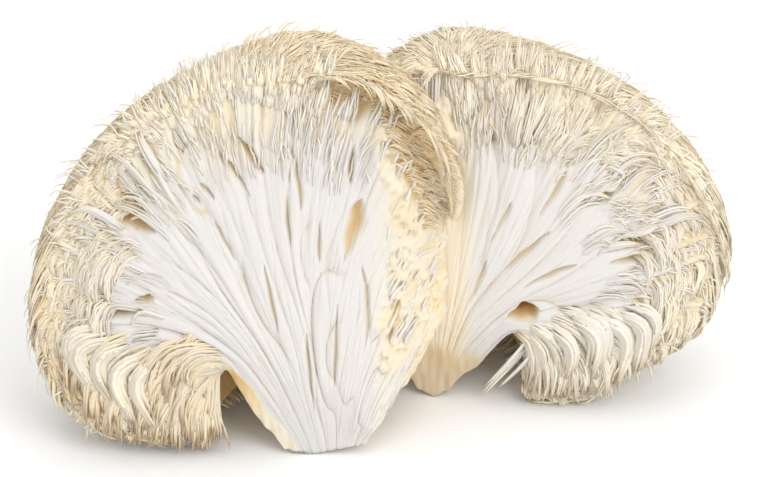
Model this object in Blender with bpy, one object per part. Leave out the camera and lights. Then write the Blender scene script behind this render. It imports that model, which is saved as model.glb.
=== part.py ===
"""A lion's mane mushroom, torn open down the middle and stood on its stem ends.

The two halves still hang together by the flesh between them, so the whole is one solid. Each
half is worked out in the same way, as surfaces that share their edges:

  coat    the outer tiers of hanging spines, from the crown over the waist to the fringe
  torn    the torn face, where the flesh rises from the stem and fans out like a fountain
  under   the rind of the stem, the groove under the cap and the inner side of the fringe
  cut     the flat end of the stem, where the mushroom was taken from its block

In a half's own frame, u runs from its stem towards its far side, w runs into the depth behind
the torn face, and z runs up. In the finished part +X runs to the right across the torn faces,
+Y away from them and +Z up, and the origin is the middle of the left stem's cut end.
"""

from dataclasses import dataclass

import bmesh
import bpy
import numpy as np

# ---- Driving dimensions --------------------------------------------------------------------

MM = 0.001
FACE_AHEAD = 6 * MM  # the torn face lies this far in front of the middle of the stem's cut
LEAN = 0.21  # the halves lean back by this much for each metre of height
TIERS = 12  # rings of spines from the crown to the fringe
COLUMNS = 56  # steps round the back of a half, from its far side to its near side
FIBRE_STEPS = 10  # steps along a fibre, from the stem to the rim
SPINE_OVERHANG = 0.65  # a spine's tip hangs this share of a tier over the next tier
SPINE_PROUD = 2.4 * MM  # and stands this far out
SPINE_UNEVEN = 0.25  # the share by which spines differ from each other
TUCK = 3.0 * MM  # how far the roots of the next tier lie in
FRINGE_TEETH = 6.0 * MM  # length of the free tips along the lower edge
BULGE = 0.12  # the coat swells out behind the torn face's rim by about this share
RIDGE = 1.6 * MM  # height of the bundles of fibres on a torn face
FLOW_STEPS = 30  # steps along a fibre while the flow of the fibres is worked out
FLOW_ROUNDS = 800


@dataclass
class Half:
    """One half of the mushroom. Outlines run from the crown to the fringe, in millimetres from
    the middle of the stem's cut: (u, z) along the far rim, (w, z) up the middle of the back,
    and (u, w, z) along the near rim, where the halves meet."""

    name: str
    side: int  # which way the half reaches from its stem: -1 to the left, +1 to the right
    stem_at: tuple  # where its stem stands, x and y in millimetres
    turn: float  # how far it is turned about its stem, in degrees
    far_rim: tuple
    back: tuple
    near_rim: tuple
    foot: tuple  # reach of the stem's cut to the far side, the near side and the back
    flare: float  # degrees by which the stem's sides lean out
    groove: float  # depth of the groove round the stem, against its width
    swell: float  # how far the torn face swells forward in its middle
    hollow: float  # how deep it lies under the rolled edge of the coat
    seed: int


LEFT = Half(
    name="left",
    side=-1,
    stem_at=(0.0, 0.0),
    turn=0.0,
    far_rim=((5, 113), (28, 112), (54, 98), (74, 76), (85, 45), (82, 20), (67, 4), (31, 4)),
    back=((0, 113), (9, 119), (27, 119), (46, 101), (57, 66), (58, 28), (50, 0), (31, 3)),
    near_rim=(
        (5, 0, 113), (-14, -9, 113), (-32, -11, 99), (-37, 8, 78), (-36, 22, 50), (-32, 14, 27), (-21, 4, 12)
    ),
    foot=(11, 13, 15),
    flare=35,
    groove=2.25,
    swell=5,
    hollow=9,
    seed=3,
)
RIGHT = Half(
    name="right",
    side=1,
    stem_at=(35.5, 29.0),
    turn=-6.0,
    far_rim=((8, 101), (28, 103), (54, 95), (75, 76), (86, 51), (80, 30), (62, 15), (52, 0), (27, 1)),
    back=((0, 101), (9, 107), (27, 107), (44, 90), (53, 60), (53, 26), (46, 0), (28, 3)),
    near_rim=((8, 0, 101), (-11, -3, 102), (-25, 0, 88), (-31, 4, 58), (-28, 5, 30), (-14, 2, 12)),
    foot=(4, 6, 11),
    flare=38,
    groove=1.35,
    swell=6,
    hollow=3,
    seed=8,
)
FLESH = (0.88, 0.82, 0.71, 1.0)


def smooth(x, low, high):
    """0 at low, 1 at high, and a smooth step between them."""
    t = np.clip((x - low) / (high - low), 0.0, 1.0)
    return t * t * (3.0 - 2.0 * t)


def mix(a, b, share):
    return a + (b - a) * share


# ---- The coat ------------------------------------------------------------------------------


def rounded(points):
    """A function from the share of the way along an outline to a point of it. The outline's
    corners are cut four times over, which rounds them."""
    line = np.array(points, float) * MM
    for _ in range(4):
        early = mix(line[:-1], line[1:], 0.25)
        late = mix(line[:-1], line[1:], 0.75)
        cut = np.stack([early, late], 1).reshape(-1, line.shape[1])
        line = np.vstack([line[:1], cut[1:-1], line[-1:]])
    share = np.append(0.0, np.linalg.norm(np.diff(line, axis=0), axis=1).cumsum())
    share /= share[-1]
    return lambda p: np.stack([np.interp(p, share, c) for c in line.T], -1)


def coat_point(half, turn, share):
    """A point of the coat: turn is 0 at the far rim, pi/2 at the back and pi at the near rim,
    and share runs from 0 at the crown to 1 at the fringe."""
    far, back, near = rounded(half.far_rim)(share), rounded(half.back)(share), rounded(half.near_rim)(share)
    from_back = smooth(np.abs(turn - np.pi / 2), 0.0, np.pi / 2)
    axis = half.far_rim[0][0] * MM * (1.0 - share)
    swelling = 1.0 + BULGE * np.abs(np.sin(2 * turn)) * smooth(share, 0.0, 0.3)
    reach = np.where(turn < np.pi / 2, far[..., 0] - axis, axis - near[..., 0])
    u = axis + reach * np.cos(turn) * swelling
    w = back[..., 0] * np.sin(turn) + near[..., 1] * smooth(turn, 0.6 * np.pi, np.pi)
    side_z = np.where(turn < np.pi / 2, far[..., 1], near[..., 2])
    return np.stack([u, w, mix(back[..., 1], side_z, from_back)], -1)


def coat_out(half, turn, share):
    """The direction straight out of the coat."""
    d = 0.01
    a = coat_point(half, turn + d, share) - coat_point(half, turn - d, share)
    b = coat_point(half, turn, np.clip(share + d, 0, 1)) - coat_point(half, turn, np.clip(share - d, 0, 1))
    out = np.cross(b, a)
    return out / (np.linalg.norm(out, axis=-1, keepdims=True) + 1e-12)


def spine_wave(tier):
    """0 between spines and 1 at their tips: a saw with wider teeth near the crown, where the
    ring is small, and with its teeth staggered from tier to tier."""
    period = 4 if tier < 4 else 2
    place = (np.arange(COLUMNS + 1) + (tier % 2) * period / 2) % period
    return 1.0 - np.abs(place - period / 2) / (period / 2)


def coat(half):
    """The coat as rows from the crown to the fringe: each tier is a row of spine tips, which
    hang over the row of the next tier's roots."""
    rng = np.random.default_rng(half.seed)
    turn = np.linspace(0.0, np.pi, COLUMNS + 1)
    from_rim = np.minimum(turn, np.pi - turn)
    free = smooth(from_rim, -0.02 * np.pi, 0.06 * np.pi)
    rows = [coat_point(half, turn, 0 * turn), coat_point(half, turn, 0 * turn + 0.6 / TIERS)]
    for tier in range(2, TIERS + 1):
        wave = spine_wave(tier) * (1.0 + SPINE_UNEVEN * rng.uniform(-1.0, 1.0, COLUMNS + 1))
        # The spines end where the near side is torn from the other half.
        grown = free * (1.0 - smooth(turn, 0.7 * np.pi, 0.9 * np.pi) * smooth(tier, 4, 7))
        wave *= grown
        overhang = SPINE_OVERHANG * (0.3 if tier == TIERS - 1 else 1.0)
        lip = np.minimum((tier - 0.3 + overhang * wave) / TIERS, 1.0)
        row = coat_point(half, turn, lip)
        rows.append(row + (SPINE_PROUD * wave)[:, None] * coat_out(half, turn, lip * 0.98))
        if tier < TIERS:
            root = np.full_like(turn, (tier + 0.02) / TIERS)
            row = coat_point(half, turn, root)
            rows.append(row - (TUCK * grown)[:, None] * coat_out(half, turn, root))
    last = spine_wave(TIERS) * smooth(-turn, -0.9 * np.pi, -0.6 * np.pi)
    rows[-1] = coat_point(half, turn, np.ones_like(turn))
    rows[-1][:, 2] += FRINGE_TEETH * (1 - last) * smooth(-turn, -0.95 * np.pi, -0.6 * np.pi)
    rows = np.array(rows)
    rows[..., 2] = np.maximum(rows[..., 2], 0.0)  # the lowest tips rest on the table
    return rows


# ---- Flesh and rind -------------------------------------------------------------------------


def heading(out, degrees, length):
    """A vector that leans from straight up towards a level direction out, by some degrees."""
    a = np.radians(degrees)[:, None]
    up = np.array([0.0, 0.0, 1.0])
    return length[:, None] * (np.sin(a) * out + np.cos(a) * up)


def underside(half, rim):
    """The rind of the stem, which runs up into the groove under the cap and down the inner side
    of the fringe: a cubic curve in each column, from the edge of the cut to the fringe. The
    groove grows shallow round the back, and on the near side there is none."""
    turn = np.linspace(0.0, np.pi, len(rim))
    far, near, back = np.array(half.foot) * MM
    reach = np.where(turn < np.pi / 2, far, near)
    start = np.stack([reach * np.cos(turn), back * np.sin(turn), 0 * turn], -1)
    out = np.stack([np.cos(turn), np.sin(turn), 0 * turn], -1)
    end = coat_point(half, turn, 0 * turn + 1.0)
    width = np.linalg.norm(end - start, axis=-1)
    grooved = smooth(-turn, -0.62 * np.pi, -0.3 * np.pi)
    nearness = smooth(turn, 0.6 * np.pi, 0.95 * np.pi)
    up = heading(out, 0 * turn + half.flare, width * mix(0.4, half.groove, grooved))
    down = heading(out, mix(180.0, 25.0, nearness), width * mix(0.3, half.groove, grooved))
    s = np.linspace(0.0, 1.0, FLOW_STEPS + 1)[:, None, None]
    handles = 3 * (1 - s) ** 2 * s * (start + up) + 3 * (1 - s) * s**2 * (end - down)
    teeth = s**8 * (rim - end)
    return (1 - s) ** 3 * start + handles + s**3 * end + teeth


def flow_grid(far_edge, near_edge, stem, rim):
    """A grid whose columns run like the lines of a flow from the stem to the rim, so they fan
    out and never cross. It starts as a plain blend of its four edges. Then each round moves
    every point to where Winslow's equations for a smooth grid want it, from its neighbours."""
    s = np.linspace(0.0, 1.0, len(far_edge))[:, None, None]
    t = np.linspace(0.0, 1.0, len(rim))[None, :, None]
    corners = mix(mix(stem[0], stem[-1], t), mix(rim[0], rim[-1], t), s)
    grid = mix(stem, rim, s) + mix(far_edge[:, None], near_edge[:, None], t) - corners
    for _ in range(FLOW_ROUNDS):
        along = grid[2:, 1:-1] - grid[:-2, 1:-1]
        across = grid[1:-1, 2:] - grid[1:-1, :-2]
        flat = [0, 2]
        a = (across[..., flat] ** 2).sum(-1, keepdims=True)
        b = (along * across)[..., flat].sum(-1, keepdims=True)
        c = (along[..., flat] ** 2).sum(-1, keepdims=True)
        twist = grid[2:, 2:] - grid[2:, :-2] - grid[:-2, 2:] + grid[:-2, :-2]
        lengthwise = a * (grid[2:, 1:-1] + grid[:-2, 1:-1])
        crosswise = c * (grid[1:-1, 2:] + grid[1:-1, :-2])
        grid[1:-1, 1:-1] = (lengthwise + crosswise - b / 2 * twist) / (2 * (a + c))
    return grid


def evened(grid, steps):
    """The same columns with fewer points, at nearly equal steps along them."""
    lengths = np.linalg.norm(np.diff(grid, axis=0), axis=-1).cumsum(axis=0)
    share = np.vstack([0 * lengths[:1], lengths / lengths[-1]])
    place = mix(np.linspace(0.0, 1.0, len(grid))[:, None], share, 0.6)
    evenly = np.linspace(0.0, 1.0, steps + 1)
    columns = zip(place.T, grid.swapaxes(0, 1))
    return np.stack(
        [np.stack([np.interp(evenly, p, c) for c in column.T], -1) for p, column in columns], 1
    )


def torn_face(half, under, rim):
    """The torn face: fibres rise from the stem and fan out to the rim, in bundles that stand
    out as ridges. It swells forward in its middle and lies back under the rolled coat."""
    t = np.linspace(0.0, 1.0, len(rim))
    stem = mix(under[0, 0], under[0, -1], t[:, None])
    face = evened(flow_grid(under[:, 0], under[:, -1], stem, rim), FIBRE_STEPS)
    s = np.linspace(0.0, 1.0, len(face))[:, None]
    inside = smooth(s, 0.0, 0.3) * smooth(-s, -1.0, -0.85)
    apart = np.linalg.norm(face[:, 2:] - face[:, :-2], axis=-1) / 2
    ridges = np.zeros(face.shape[:2])
    ridges[:, 1:-1] = np.minimum(RIDGE, 0.4 * apart) * np.where(np.arange(len(rim) - 2) % 2, -1, 1)
    middle = half.swell * MM * np.sqrt(np.clip(np.sin(np.pi * s) * np.sin(np.pi * t), 0, 1))
    hollow = half.hollow * MM * np.exp(-(((t - 0.66) / 0.09) ** 2)) * smooth(s, 0.5, 0.85)
    face[..., 1] -= (ridges + middle - hollow) * inside
    return face


# ---- Joining the surfaces into a solid ------------------------------------------------------


def in_place(half, grid):
    """From the half's own frame to the part's frame."""
    u, w, z = grid[..., 0] * half.side, grid[..., 1] - FACE_AHEAD, grid[..., 2]
    a = np.radians(half.turn)
    x = half.stem_at[0] * MM + u * np.cos(a) - w * np.sin(a)
    y = half.stem_at[1] * MM + u * np.sin(a) + w * np.cos(a)
    return np.stack([x, y + LEAN * z, z], -1)


def add_grid(mesh, grid, turned):
    """Adds a grid of points as four-sided faces, which face outwards after turned."""
    verts = [[mesh.verts.new(p) for p in row] for row in grid]
    for upper, lower in zip(verts, verts[1:]):
        for j in range(len(upper) - 1):
            loop = [upper[j], lower[j], lower[j + 1], upper[j + 1]]
            mesh.faces.new(loop[::-1] if turned else loop)


def build_half(half):
    """One half as a closed mesh object."""
    outer = coat(half)
    rim = np.concatenate([outer[::-1, 0], outer[1:, -1]])
    under = underside(half, outer[-1])
    face = torn_face(half, under, rim)
    under = evened(under, FIBRE_STEPS)
    mirrored = half.side > 0
    mesh = bmesh.new()
    add_grid(mesh, in_place(half, outer), mirrored)
    add_grid(mesh, in_place(half, face), not mirrored)
    add_grid(mesh, in_place(half, under), not mirrored)
    ring = in_place(half, np.concatenate([face[0], under[0][-2:0:-1]]))
    mesh.faces.new([mesh.verts.new(p) for p in ring])
    bmesh.ops.remove_doubles(mesh, verts=mesh.verts, dist=0.001 * MM)
    bmesh.ops.dissolve_degenerate(mesh, edges=mesh.edges, dist=0.001 * MM)
    bmesh.ops.triangulate(mesh, faces=mesh.faces)
    bmesh.ops.recalc_face_normals(mesh, faces=mesh.faces)
    data = bpy.data.meshes.new(half.name)
    mesh.to_mesh(data)
    mesh.free()
    made = bpy.data.objects.new(half.name, data)
    bpy.context.collection.objects.link(made)
    return made


def flesh_material():
    material = bpy.data.materials.new("mushroom_flesh")
    material.use_nodes = True
    shader = material.node_tree.nodes["Principled BSDF"]
    shader.inputs["Base Color"].default_value = FLESH
    shader.inputs["Roughness"].default_value = 0.7
    shader.inputs["Metallic"].default_value = 0.0
    return material


def build_mushroom():
    """Both halves, joined where their flesh still holds them together."""
    mushroom = build_half(LEFT)
    mushroom.name = mushroom.data.name = "fruiting_body"
    other = build_half(RIGHT)
    other.hide_render = True
    other.display_type = "WIRE"
    join = mushroom.modifiers.new("still_joined", "BOOLEAN")
    join.operation = "UNION"
    join.solver = "EXACT"
    join.object = other
    mushroom.data.materials.append(flesh_material())
    return mushroom


for old in list(bpy.data.objects):
    bpy.data.objects.remove(old)
build_mushroom()
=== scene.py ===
"""The looks of a lion's mane mushroom that is torn open like a book and stands on its stem ends.

It is one grown piece, made here as layers that overlap as they do in the real one: the white
flesh with its torn faces, the bundles of fibres that lift off it, and the cream spines that grow
from it all round. Lengths are in metres unless a name or a comment says millimetres.

In a half's own frame, u runs from its stem towards its far side, w into the depth behind the
torn face, and z up. In the part's frame +X runs to the right, +Y away from the camera, +Z up.
"""

from types import SimpleNamespace

import bmesh
import bpy
import numpy as np
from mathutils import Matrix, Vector


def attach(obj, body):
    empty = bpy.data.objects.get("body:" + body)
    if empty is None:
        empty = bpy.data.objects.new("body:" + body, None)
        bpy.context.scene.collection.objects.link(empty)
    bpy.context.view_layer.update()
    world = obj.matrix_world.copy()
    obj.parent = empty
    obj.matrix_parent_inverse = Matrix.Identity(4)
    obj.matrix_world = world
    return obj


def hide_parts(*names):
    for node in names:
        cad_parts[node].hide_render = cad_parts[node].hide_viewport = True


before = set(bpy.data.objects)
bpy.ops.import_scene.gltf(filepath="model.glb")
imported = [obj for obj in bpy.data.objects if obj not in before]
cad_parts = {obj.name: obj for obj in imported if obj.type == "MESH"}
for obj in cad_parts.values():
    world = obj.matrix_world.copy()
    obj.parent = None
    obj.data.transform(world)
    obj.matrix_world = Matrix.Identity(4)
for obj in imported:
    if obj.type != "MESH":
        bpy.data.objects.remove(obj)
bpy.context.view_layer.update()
MM = 0.001

# ---- The flesh ------------------------------------------------------------------------------
# Two halves of white flesh, still joined down the middle. Fibres rise from each stem and fan out
# like a fountain on the torn face, and behind it the flesh is a dome that carries the spines.
# Each half is one closed skin: torn face, dome, rind of the stem and its flat cut end.

LEAN = 0.21  # the halves lean back by this much for each metre of height
FACE_AHEAD = 6 * MM  # the torn face lies this far in front of the middle of the stem's cut
BULGE = 0.12  # the dome swells out behind the torn face's rim by about this share
DROP = 0.12  # length that hangs below the fringe for each unit of share past 1
OVERHANG = 0.8  # what is combed out in front of the rim falls by this much of its reach
ROWS = 131  # points along a fibre, from the stem to the rim
COLUMNS = 561  # points across the fan of fibres, from the far edge to the near edge
ROUND_BACK = 41  # points round the dome, from its far side to its near side
COARSE = 5  # the fan is first solved on every fifth point
COARSE_ROUNDS, FINE_ROUNDS = 800, 60
EVENED = 0.6  # how far the steps along a fibre are made even
LEVEL_TONES = (0.42, 0.40, 0.28, 0.14)  # how deep in tone the grooves of each level of bundles are painted: painted shade between the bundles
PORE_SIZES = (0.35, 1.3)  # radius of the smallest and of the largest pore, in millimetres

# Outlines run from the crown down, in millimetres: (u, z) for the far rim, (w, z) for the back and
# (u, w, z) for the near rim. The stem's foot reaches so far to its far side, near side and back,
# and flares by so many degrees. Groove is how strongly the rind is pulled up between the stem and
# the fringe. Swell and hollow are how far the torn face stands out and goes in, in millimetres.
LEFT = SimpleNamespace(
    name="left", side=-1, stem_at=(0.0, 0.0), turn=0.0,
    far_rim=((5, 113), (28, 112), (54, 98), (74, 76), (85, 45), (82, 20), (67, 4), (31, 4)),
    back=((0, 113), (9, 118), (26, 117), (45, 100), (57, 66), (58, 28), (50, 0), (31, 3)),
    near_rim=(
        (5, 2, 114), (-15, -5, 116), (-33, -7, 103), (-38, 8, 80), (-36, 22, 50), (-32, 14, 27),
        (-21, 4, 12),
    ),
    foot=(11, 13, 15), flare=35, groove=2.25, swell=5, hollow=4.5, seed=3,
)
RIGHT = SimpleNamespace(
    name="right", side=1, stem_at=(35.5, 29.0), turn=-6.0,
    far_rim=(
        (8, 101), (28, 103), (54, 95), (75, 76), (87, 51), (82, 29), (70, 17), (54, 10), (44, 0),
        (27, 1),
    ),
    back=((0, 101), (9, 107), (24, 106), (41, 92), (52, 60), (53, 26), (46, 0), (28, 3)),
    near_rim=((8, 0, 101), (-11, -3, 106), (-25, 0, 92), (-31, 4, 58), (-28, 5, 30), (-14, 2, 12)),
    foot=(4, 6, 11), flare=38, groove=1.35, swell=6, hollow=2.0, seed=8,
)


def smooth(x, low, high):
    """0 at low, 1 at high, and a smooth step between them."""
    t = np.clip((x - low) / (high - low), 0.0, 1.0)
    return t * t * (3.0 - 2.0 * t)


def fades(x, low, high):
    """1 at low, 0 at high, and a smooth step between them."""
    return smooth(-x, -high, -low)


def mix(a, b, share):
    """a at share 0, b at share 1, and a straight blend between them."""
    return a + (b - a) * share


def drift(along, across, rate_along, rate_across, seed, waves=10):
    """Smooth unevenness, mostly between -1 and 1: a sum of sine waves with random directions,
    whose rates are spread round the two that are given."""
    rng = np.random.default_rng(seed)
    rates = rng.normal(0.0, 1.0, (waves, 2)) * (rate_along, rate_across)
    phases = rng.uniform(0.0, 2 * np.pi, waves)
    waved = sum(np.sin(a * along + b * across + p) for (a, b), p in zip(rates, phases))
    return waved / np.sqrt(waves / 2)


def rounded(points):
    """A function from the share of the way along an outline, given in millimetres, to a point
    of it. The outline's corners are cut four times over, which rounds them."""
    line = np.array(points, float) * MM
    for _ in range(4):
        early = mix(line[:-1], line[1:], 0.25)
        late = mix(line[:-1], line[1:], 0.75)
        cut = np.stack([early, late], 1).reshape(-1, line.shape[1])
        line = np.vstack([line[:1], cut[1:-1], line[-1:]])
    share = np.append(0.0, np.linalg.norm(np.diff(line, axis=0), axis=1).cumsum())
    share /= share[-1]
    return lambda p: np.stack([np.interp(p, share, c) for c in line.T], -1)


def unit(vectors, least=0.0):
    """The directions of some vectors, with length 1. Least keeps a length of 0 from dividing."""
    return vectors / (np.linalg.norm(vectors, axis=-1, keepdims=True) + least)


def dome(half, turn, share):
    """A point of the spines' outer surface: turn is 0 at the far rim, pi/2 at the back and pi at
    the near rim, share runs from 0 at the crown to 1 at the fringe, and past 1 it hangs down."""
    far, back, near = (rounded(line)(share) for line in (half.far_rim, half.back, half.near_rim))
    from_back = smooth(np.abs(turn - np.pi / 2), 0.0, np.pi / 2)
    axis = half.far_rim[0][0] * MM * (1.0 - np.clip(share, 0.0, 1.0))
    swelling = 1.0 + BULGE * np.abs(np.sin(2 * turn)) * smooth(share, 0.0, 0.3)
    reach = np.where(turn < np.pi / 2, far[..., 0] - axis, axis - near[..., 0])
    u = axis + reach * np.cos(turn) * swelling
    w = back[..., 0] * np.sin(turn) + near[..., 1] * smooth(turn, 0.6 * np.pi, np.pi)
    side_z = np.where(turn < np.pi / 2, far[..., 1], near[..., 2])
    z = mix(back[..., 1], side_z, from_back) - DROP * np.maximum(share - 1.0, 0.0)
    z = z - OVERHANG * np.maximum(-back[..., 0] * np.sin(turn), 0.0)
    return np.stack([u, w, z], -1)


def dome_out(half, turn, share):
    """The direction straight out of the dome."""
    d = 0.02
    share = np.clip(share, 2 * d, 1 - 2 * d)
    across = dome(half, turn + d, share) - dome(half, turn - d, share)
    down = dome(half, turn, share + d) - dome(half, turn, share - d)
    return unit(np.cross(down, across))


def in_place(half, points):
    """From the half's own frame to the part's frame."""
    u, w, z = points[..., 0] * half.side, points[..., 1] - FACE_AHEAD, points[..., 2]
    a = np.radians(half.turn)
    x = half.stem_at[0] * MM + u * np.cos(a) - w * np.sin(a)
    y = half.stem_at[1] * MM + u * np.sin(a) + w * np.cos(a)
    return np.stack([x, y + LEAN * z, z], -1)


def sampled(grid, s, t):
    """The value of a grid at the shares s of its rows and t of its columns, blended from the
    four nearest points."""
    i = np.clip(s, 0.0, 1.0) * (len(grid) - 1)
    j = np.clip(t, 0.0, 1.0) * (grid.shape[1] - 1)
    i0 = np.minimum(i.astype(int), len(grid) - 2)
    j0 = np.minimum(j.astype(int), grid.shape[1] - 2)
    di = (i - i0)[..., None]
    dj = (j - j0)[..., None]
    upper = mix(grid[i0, j0], grid[i0, j0 + 1], dj)
    lower = mix(grid[i0 + 1, j0], grid[i0 + 1, j0 + 1], dj)
    return mix(upper, lower, di)


def heading(out, degrees, length):
    """A vector that leans from straight up towards a level direction out, by some degrees."""
    a = np.radians(degrees)[:, None]
    return length[:, None] * (np.sin(a) * out + np.cos(a) * np.array([0.0, 0.0, 1.0]))


def rind(half, fringe):
    """The rind of the stem, which runs up into the groove under the cap and down to the fringe:
    a cubic curve in each column. The groove grows shallow round the back."""
    turn = np.linspace(0.0, np.pi, len(fringe))
    far, near, back = np.array(half.foot) * MM
    start = [np.where(turn < np.pi / 2, far, near) * np.cos(turn), back * np.sin(turn), 0 * turn]
    start = np.stack(start, -1)
    out = np.stack([np.cos(turn), np.sin(turn), 0 * turn], -1)
    width = np.linalg.norm(fringe - start, axis=-1)
    grooved = fades(turn, 0.3 * np.pi, 0.62 * np.pi)
    nearness = smooth(turn, 0.6 * np.pi, 0.95 * np.pi)
    up = heading(out, 0 * turn + half.flare, width * mix(0.4, half.groove, grooved))
    down = heading(out, mix(180.0, 25.0, nearness), width * mix(0.3, half.groove, grooved))
    s = np.linspace(0.0, 1.0, ROWS)[:, None, None]
    handles = 3 * (1 - s) ** 2 * s * (start + up) + 3 * (1 - s) * s**2 * (fringe - down)
    return (1 - s) ** 3 * start + handles + s**3 * fringe


def relaxed(grid, rounds):
    """A grid whose columns run like the lines of a flow, so they fan out and never cross. Each
    round moves every point to where Winslow's equations for a smooth grid want it."""
    flat = [0, 2]
    for _ in range(rounds):
        along = grid[2:, 1:-1] - grid[:-2, 1:-1]
        across = grid[1:-1, 2:] - grid[1:-1, :-2]
        a = (across[..., flat] ** 2).sum(-1, keepdims=True)
        b = (along * across)[..., flat].sum(-1, keepdims=True)
        c = (along[..., flat] ** 2).sum(-1, keepdims=True)
        twist = grid[2:, 2:] - grid[2:, :-2] - grid[:-2, 2:] + grid[:-2, :-2]
        lengthwise = a * (grid[2:, 1:-1] + grid[:-2, 1:-1])
        crosswise = c * (grid[1:-1, 2:] + grid[1:-1, :-2])
        grid[1:-1, 1:-1] = (lengthwise + crosswise - b / 2 * twist) / (2 * (a + c))
    return grid


def fan(far_edge, near_edge, stem, rim):
    """The fan of fibres between its four edges, solved coarsely first and then finely, with
    nearly even steps along each fibre."""
    s = np.linspace(0.0, 1.0, len(far_edge))[:, None, None]
    t = np.linspace(0.0, 1.0, len(rim))[None, :, None]
    corners = mix(mix(stem[0], stem[-1], t), mix(rim[0], rim[-1], t), s)
    grid = mix(stem, rim, s) + mix(far_edge[:, None], near_edge[:, None], t) - corners
    coarse = relaxed(grid[::COARSE, ::COARSE].copy(), COARSE_ROUNDS)
    fine = sampled(coarse, *np.broadcast_arrays(s[..., 0], t[..., 0]))
    grid[1:-1, 1:-1] = fine[1:-1, 1:-1]
    grid = relaxed(grid, FINE_ROUNDS)
    lengths = np.linalg.norm(np.diff(grid, axis=0), axis=-1).cumsum(axis=0)
    share = np.vstack([0 * lengths[:1], lengths / lengths[-1]])
    place = mix(s[..., 0], share, EVENED)
    columns = zip(place.T, grid.swapaxes(0, 1))
    even = [np.stack([np.interp(s[:, 0, 0], p, c) for c in column.T], -1) for p, column in columns]
    return np.stack(even, 1)


def bundles(s, t, spacing, count, tallest, seed):
    """Bundles of fibres side by side, rounded across like rods. They wander a little, differ in
    width, and in places merge into their neighbours. It returns their height in metres, and how
    near the bottom of the groove between two bundles a point is, from 0 to 1."""
    uneven = 0.3 * drift(0 * s, t * count, 1.0, 1.6, seed)
    wander = 0.45 * drift(s, t, 5.0, 12.0, seed + 1)
    x = t * count + uneven + wander * smooth(s, 0.0, 0.3)
    middle = 2.0 * (x - np.floor(x)) - 1.0
    parted = np.clip(0.62 + 0.55 * drift(s, t * count, 5.0, 2.2, seed + 2), 0.08, 1.0)
    top = np.sqrt(np.clip(1.0 - middle**2, 0.0, 1.0))
    height = np.minimum(tallest, 0.27 * spacing / count) * (top - 1.0) * parted
    return height, smooth(1.0 - top, 0.55, 1.0) * parted


def crevices(u, z, places, seed):
    """Long openings between bundles, pointed at both ends. A place is the u and z of its inner
    and its outer end, its width and its depth, all in millimetres. It returns how deep each
    point of the face lies."""
    rng = np.random.default_rng(seed)
    deep = np.zeros_like(u)
    for place in places:
        u0, z0, u1, z1, width, depth = np.array(place) * MM
        du, dz = (u1 - u0) / 2, (z1 - z0) / 2
        half_length = np.hypot(du, dz)
        along = ((u - u0 - du) * du + (z - z0 - dz) * dz) / half_length**2
        across = ((u - u0 - du) * dz - (z - z0 - dz) * du) / half_length
        across = across - rng.normal(0, 0.05) * half_length * (1.0 - along**2)
        across = across - 0.06 * width * np.sin(7.0 * along + rng.uniform(0, 6))
        skew = along + 0.25 * rng.normal() * (1.0 - along**2)
        lens = np.clip(1.0 - skew**2, 0.0, 1.0) ** 0.85 * (np.abs(along) < 1.0)
        inside = np.exp(-(np.abs(2 * across / width / (lens + 1e-6)) ** 2.0)) * (lens > 0)
        deep = np.maximum(deep, depth * np.sqrt(lens) * inside)
    return deep


def pores(u, z, field, count, radius, seed):
    """Pits scattered where a field of shares is high. It returns their depth in metres."""
    rng = np.random.default_rng(seed)
    uneven_u = u + 0.35 * MM * drift(u, z, 1800.0, 1800.0, seed + 1)
    uneven_z = z + 0.35 * MM * drift(u, z, 1800.0, 1800.0, seed + 2)
    likely = field.ravel() / field.sum()
    picked = rng.choice(field.size, count, p=likely)
    deep = np.zeros_like(u)
    for k in picked:
        r = rng.uniform(*radius) * MM
        wide, turned = rng.uniform(0.5, 2.0), rng.uniform(0.0, np.pi)
        du, dz = uneven_u - u.flat[k], uneven_z - z.flat[k]
        along = (du * np.cos(turned) + dz * np.sin(turned)) / wide
        across = (dz * np.cos(turned) - du * np.sin(turned)) * wide
        deep = np.maximum(deep, 0.7 * r * np.exp(-(((along**2 + across**2) / r**2) ** 1.3)))
    return deep


def mesh_of(name, points, corners, attributes):
    """A smooth-shaded mesh object from whole arrays: points, faces as rows of corners, and
    named values at the points."""
    mesh = bpy.data.meshes.new(name)
    sides = corners.shape[1]
    mesh.vertices.add(len(points))
    mesh.vertices.foreach_set("co", points.astype(np.float32).ravel())
    mesh.loops.add(corners.size)
    mesh.loops.foreach_set("vertex_index", corners.astype(np.int32).ravel())
    mesh.polygons.add(len(corners))
    mesh.polygons.foreach_set("loop_start", np.arange(0, corners.size, sides, dtype=np.int32))
    for key, values in attributes.items():
        attribute = mesh.attributes.new(key, "FLOAT", "POINT")
        attribute.data.foreach_set("value", values.astype(np.float32).ravel())
    mesh.update(calc_edges=True)
    mesh.validate()
    mesh.shade_smooth()
    made = bpy.data.objects.new(name, mesh)
    bpy.context.collection.objects.link(made)
    return made


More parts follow.
